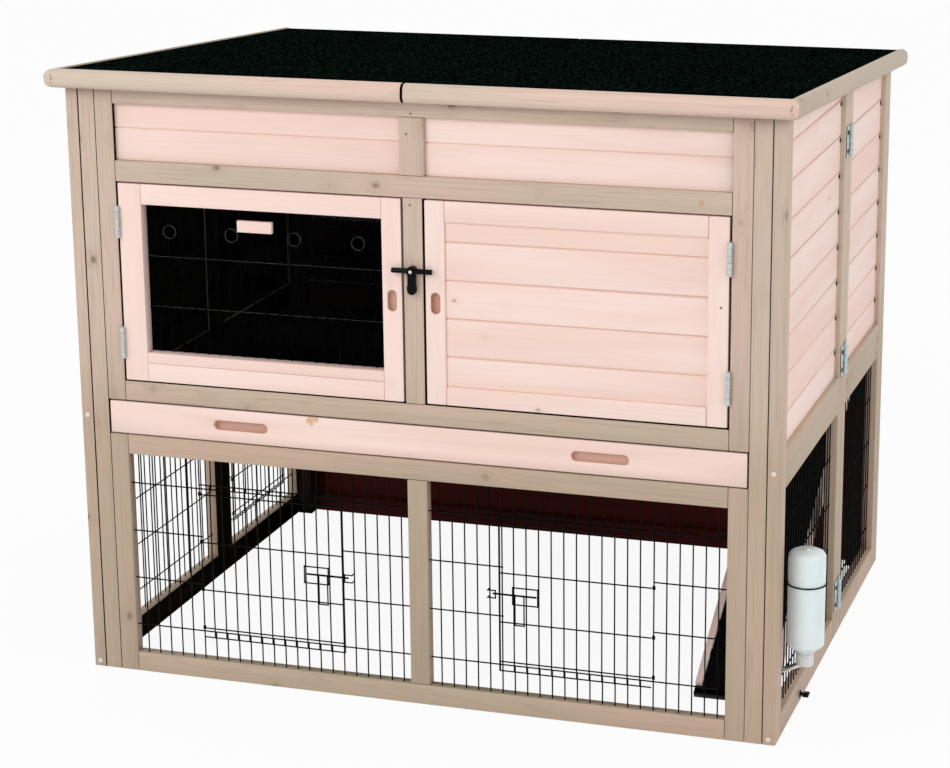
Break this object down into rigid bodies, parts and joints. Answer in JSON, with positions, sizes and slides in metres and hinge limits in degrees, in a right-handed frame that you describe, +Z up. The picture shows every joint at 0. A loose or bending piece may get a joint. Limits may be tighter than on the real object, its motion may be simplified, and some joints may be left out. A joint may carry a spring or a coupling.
{
  "type": "small animal hutch",
  "caption": "Two-storey wooden small animal hutch: boarded house with window door, solid door, pull-out tray and hinged roof lids above a wire mesh run with doors and ramp.",
  "frame": {"origin": "on the ground, at the underside of the front bottom rail, at the middle of its length and of its thickness", "axes": "+X to the right seen from the front, +Y from the front to the back, +Z up"},
  "size_m": [1.2009, 0.9309, 0.9737],
  "materials": {
    "washed_wood": "washed grey-beige stain with visible grain",
    "pink_wood": "pale pink paint, matt",
    "dark_wood": "dark red-brown stain, matt",
    "black_wire": "black coating, satin",
    "zinc": "zinc plated",
    "black_steel": "black coating, satin",
    "bright_steel": "polished",
    "galvanised": "galvanised sheet",
    "light_plastic": "matt",
    "clear_pane": "clear, glossy",
    "black_plastic": "glossy",
    "black_felt": "bitumen felt with fine grit",
    "roof_felt": "bitumen felt with dark green grit",
    "milky_plastic": "milky, half clear",
    "white_plastic": "satin"
  },
  "bodies": {
    "hutch": {"corner_posts": "washed_wood", "front_lower_frame": "washed_wood", "front_upper_frame": "washed_wood", "front_top_boards": "pink_wood", "front_mesh": "black_wire", "left_front_frame": "washed_wood", "left_rear_frame": "washed_wood", "left_wall_boards": "pink_wood", "left_mesh": "black_wire", "right_front_frame": "washed_wood", "right_rear_frame": "washed_wood", "right_wall_boards": "pink_wood", "right_mesh": "black_wire", "fold_hinges": "zinc", "black_screws": "black_steel", "back_frame": "washed_wood", "back_boards": "dark_wood", "rear_floor": "dark_wood", "tray_ledges": "dark_wood", "partition_boards": "dark_wood", "partition_frame": "dark_wood", "roof_hinge_wall_leaves": "zinc", "door_hinge_frame_leaves": "zinc", "ramp_hinge_bracket": "zinc", "latch_screw": "bright_steel", "screw_caps": "light_plastic"},
    "window_door": {"window_door_frame": "pink_wood", "window_door_mesh": "black_wire", "window_door_leaves": "zinc"},
    "window_pane": {"window_pane": "clear_pane", "pane_pull_block": "pink_wood"},
    "solid_door": {"solid_door_frame": "pink_wood", "solid_door_boards": "pink_wood", "solid_door_leaves": "zinc"},
    "turn_latch": {"turn_latch": "black_plastic"},
    "tray": {"tray_front": "pink_wood", "tray_pan": "galvanised"},
    "wire_door_left": {"wire_door_left": "black_wire"},
    "wire_door_right": {"wire_door_right": "black_wire"},
    "wire_door_side": {"wire_door_side": "black_wire"},
    "slide_bolt_left": {"slide_bolt_left": "black_wire"},
    "slide_bolt_right": {"slide_bolt_right": "black_wire"},
    "slide_bolt_side": {"slide_bolt_side": "black_wire"},
    "ramp": {"ramp_rails": "pink_wood", "ramp_board": "pink_wood", "ramp_tread": "black_felt", "ramp_foot": "black_steel", "ramp_hinge_strap": "zinc"},
    "left_lid": {"left_lid_deck": "dark_wood", "left_lid_fascia": "washed_wood", "left_lid_felt": "roof_felt", "left_lid_leaves": "zinc"},
    "right_lid": {"right_lid_deck": "dark_wood", "right_lid_fascia": "washed_wood", "right_lid_felt": "roof_felt", "right_lid_leaves": "zinc"},
    "bottle": {"bottle_body": "milky_plastic", "bottle_cap": "white_plastic", "bottle_spout": "bright_steel", "bottle_holder": "black_wire"}
  },
  "joints": [
    {"name": "window_door_hinge", "type": "hinge", "parent": "hutch", "child": "window_door", "pos_m": [-0.4805, -0.0136, 0.6425], "axis": [0, 0, -1], "range_deg": [0, 110]},
    {"name": "window_pane_lift_out", "type": "slide", "parent": "window_door", "child": "window_pane", "axis": [0, -1, 0], "range_m": [0, 0.06]},
    {"name": "solid_door_hinge", "type": "hinge", "parent": "hutch", "child": "solid_door", "pos_m": [0.4805, -0.0136, 0.6425], "axis": [0, 0, 1], "range_deg": [0, 110]},
    {"name": "turn_latch_pivot", "type": "hinge", "parent": "hutch", "child": "turn_latch", "pos_m": [0, -0.0103, 0.692], "axis": [0, -1, 0], "range_deg": [-90, 90]},
    {"name": "tray_slide", "type": "slide", "parent": "hutch", "child": "tray", "axis": [0, -1, 0], "range_m": [0, 0.45]},
    {"name": "wire_door_left_hinge", "type": "hinge", "parent": "hutch", "child": "wire_door_left", "pos_m": [-0.3648, -0.005, 0.197], "axis": [0, 0, -1], "range_deg": [0, 110]},
    {"name": "wire_door_right_hinge", "type": "hinge", "parent": "hutch", "child": "wire_door_right", "pos_m": [0.3708, -0.005, 0.197], "axis": [0, 0, 1], "range_deg": [0, 110]},
    {"name": "wire_door_side_hinge", "type": "hinge", "parent": "hutch", "child": "wire_door_side", "pos_m": [-0.551, 0.5335, 0.197], "axis": [0, 0, 1], "range_deg": [0, 110]},
    {"name": "slide_bolt_left_slide", "type": "slide", "parent": "wire_door_left", "child": "slide_bolt_left", "axis": [-1, 0, 0], "range_m": [0, 0.02]},
    {"name": "slide_bolt_right_slide", "type": "slide", "parent": "wire_door_right", "child": "slide_bolt_right", "axis": [1, 0, 0], "range_m": [0, 0.02]},
    {"name": "slide_bolt_side_slide", "type": "slide", "parent": "wire_door_side", "child": "slide_bolt_side", "axis": [0, -1, 0], "range_m": [0, 0.02]},
    {"name": "ramp_hinge", "type": "hinge", "parent": "hutch", "child": "ramp", "pos_m": [0.462, 0.808, 0.3809], "axis": [-1, 0, 0], "range_deg": [0, 23]},
    {"name": "left_lid_hinge", "type": "hinge", "parent": "hutch", "child": "left_lid", "pos_m": [-0.28, 0.8595, 0.89879], "axis": [-1, 0, 0], "range_deg": [0, 80]},
    {"name": "right_lid_hinge", "type": "hinge", "parent": "hutch", "child": "right_lid", "pos_m": [0.28, 0.8595, 0.89879], "axis": [-1, 0, 0], "range_deg": [0, 80]},
    {"name": "bottle_take_off", "type": "slide", "parent": "hutch", "child": "bottle", "axis": [1, 0, 0], "range_m": [0, 0.1]}
  ]
}
